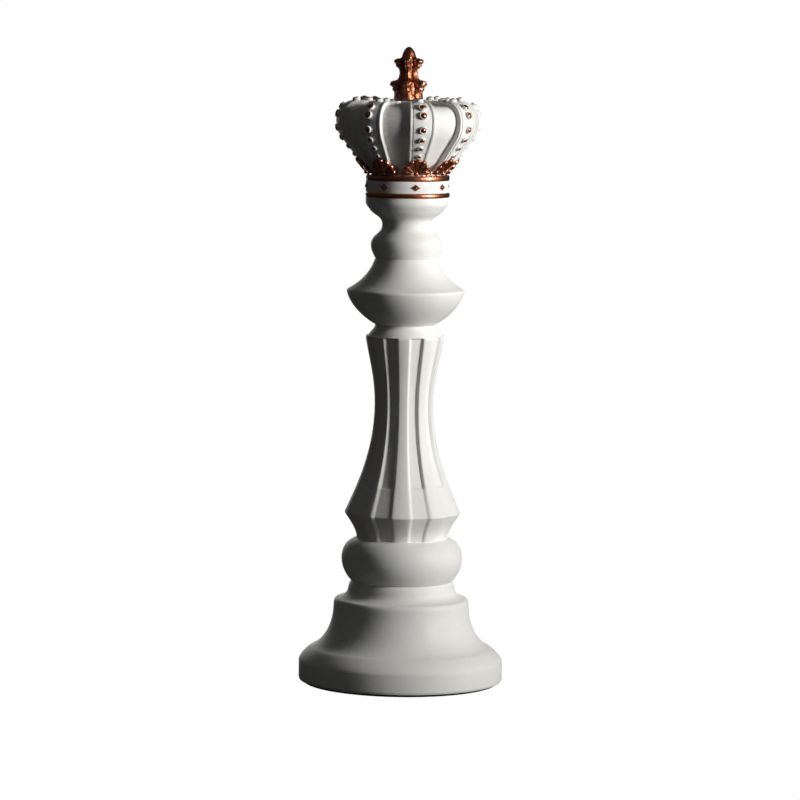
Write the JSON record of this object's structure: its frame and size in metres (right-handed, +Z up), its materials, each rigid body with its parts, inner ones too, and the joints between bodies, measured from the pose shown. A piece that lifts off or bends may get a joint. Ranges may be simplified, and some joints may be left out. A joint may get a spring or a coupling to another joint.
{
  "type": "giant chess queen",
  "caption": "Tall white chess queen with a stepped round base, fluted column, ribbed crown with copper-coloured trims and a leafy copper-coloured lift-out finial.",
  "frame": {"origin": "centre of the felt foot's underside, where the piece stands", "axes": "+Z up along the turning axis; -Y towards the viewer of the front; +X to that viewer's right"},
  "size_m": [0.13, 0.13, 0.405],
  "materials": {
    "white_resin": "satin",
    "copper_plate": "polished copper-coloured plating",
    "steel": "zinc plated",
    "cast_iron": "as cast",
    "brass": "turned",
    "base_board": "moulded",
    "felt": "pressed felt"
  },
  "bodies": {
    "body": {"felt_pad": "felt", "plinth": "white_resin", "base_plate": "base_board", "plate_screws": "steel", "ballast_ring": "cast_iron", "torus_ring": "white_resin", "column": "white_resin", "collar": "white_resin", "neck": "white_resin", "tie_rod": "steel", "lower_washer": "steel", "lower_nut": "steel", "upper_washer": "steel", "upper_nut": "steel", "lower_copper_ring": "copper_plate", "crown_band": "white_resin", "upper_copper_ring": "copper_plate", "crown_cap": "white_resin", "crown_ribs": "white_resin", "stud_rims": "white_resin", "rib_studs": "copper_plate", "palmettes": "copper_plate", "scroll_trims": "copper_plate", "band_jewels": "copper_plate", "finial_bush": "brass"},
    "finial_seat": {"finial_washer": "copper_plate"},
    "finial_head": {"finial": "copper_plate", "finial_pin": "steel"}
  },
  "joints": [
    {"name": "finial_turn", "type": "hinge", "parent": "body", "child": "finial_seat", "pos_m": [0, 0, 0.371], "axis": [0, 0, 1], "continuous": true},
    {"name": "finial_lift", "type": "slide", "parent": "finial_seat", "child": "finial_head", "axis": [0, 0, 1], "range_m": [0, 0.01]}
  ]
}
